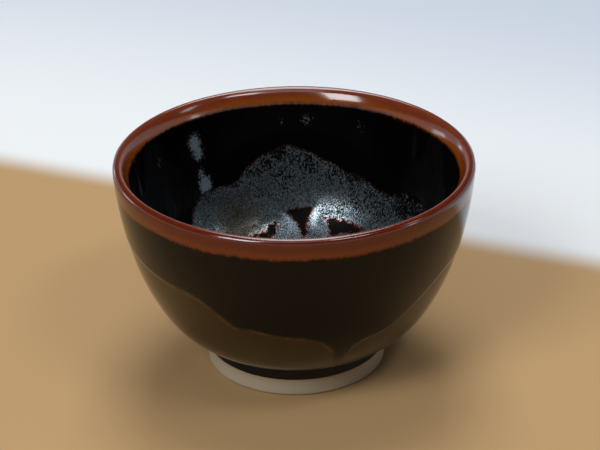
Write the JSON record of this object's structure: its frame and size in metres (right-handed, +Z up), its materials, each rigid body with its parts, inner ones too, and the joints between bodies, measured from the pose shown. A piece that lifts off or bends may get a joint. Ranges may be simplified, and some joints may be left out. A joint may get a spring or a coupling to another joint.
{
  "type": "sake cup",
  "caption": "Open glazed porcelain sake cup with a red-brown lip, a black curtain glaze, a crystal glaze in the well and a bare foot ring.",
  "frame": {"origin": "middle of the foot ring's base, on the table", "axes": "+Z up through the cup's mouth; -Y towards the side with the drip"},
  "size_m": [0.066, 0.066, 0.0405],
  "materials": {
    "bare_porcelain": "matt",
    "black_liner_glaze": "gloss",
    "red_brown_lip_glaze": "gloss",
    "olive_brown_glaze": "gloss",
    "black_curtain_glaze": "gloss",
    "crystal_glaze": "satin"
  },
  "bodies": {
    "root": {"porcelain_body": "bare_porcelain", "inner_glaze": "black_liner_glaze", "lip_glaze": "red_brown_lip_glaze", "outer_glaze": "olive_brown_glaze", "outer_overglaze": "black_curtain_glaze", "well_glaze": "crystal_glaze"}
  },
  "joints": []
}
